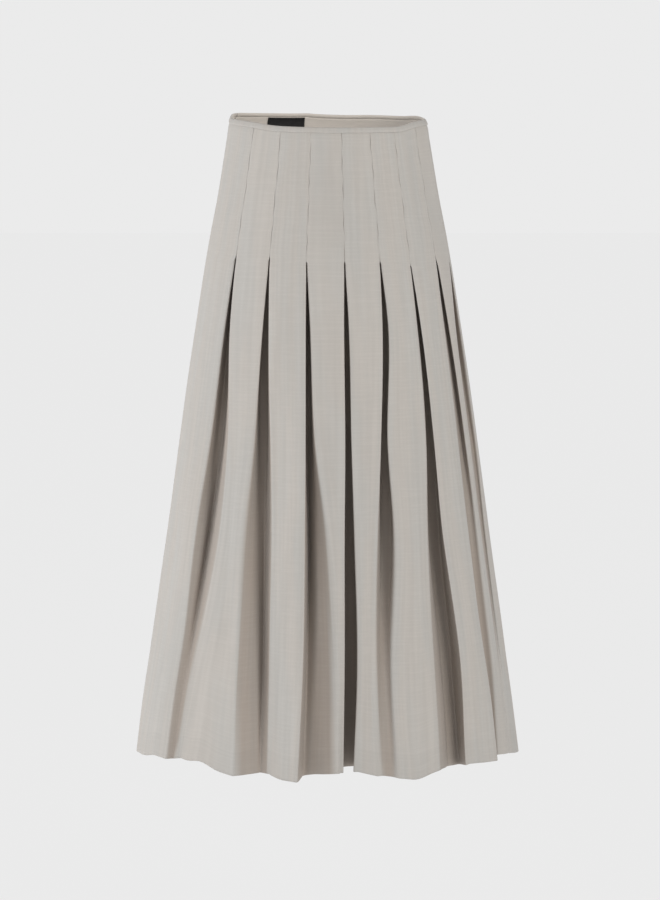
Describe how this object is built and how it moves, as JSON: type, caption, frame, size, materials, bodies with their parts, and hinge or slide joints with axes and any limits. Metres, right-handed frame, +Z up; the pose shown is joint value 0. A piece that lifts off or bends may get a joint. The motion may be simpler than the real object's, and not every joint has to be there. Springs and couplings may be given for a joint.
{
  "type": "pleated midi skirt",
  "caption": "Hollow, filled-out midi skirt: narrow bound waist, pleats stitched down to the hip, then deep open folds to a flared hem.",
  "frame": {"origin": "middle of the waist opening, at the height of the waist edge at the side seams", "axes": "+Z up, the wearer's front faces -Y, +X to the viewer's right of the front"},
  "size_m": [0.5027, 0.3943, 0.8431],
  "materials": {
    "skirt_cloth": "matt light twill suiting with a faint crosswise slub",
    "facing_cloth": "smooth plain weave",
    "label_weave": "black woven satin ribbon",
    "zip_tape": "knitted tape",
    "zip_metal": "satin enamel"
  },
  "bodies": {
    "skirt": {"skirt_front": "skirt_cloth", "skirt_back": "skirt_cloth", "waist_binding": "skirt_cloth", "waist_facing": "facing_cloth", "label": "label_weave", "zip_tape": "zip_tape", "zip_slider": "zip_metal"},
    "pull": {"zip_pull": "zip_metal"}
  },
  "joints": [
    {"name": "zip_pull_hinge", "type": "hinge", "parent": "skirt", "child": "pull", "pos_m": [-0.12626, 0.02621, -0.00248], "axis": [0.3702, 0.9251, 0.0841], "range_deg": [0, 160]}
  ]
}
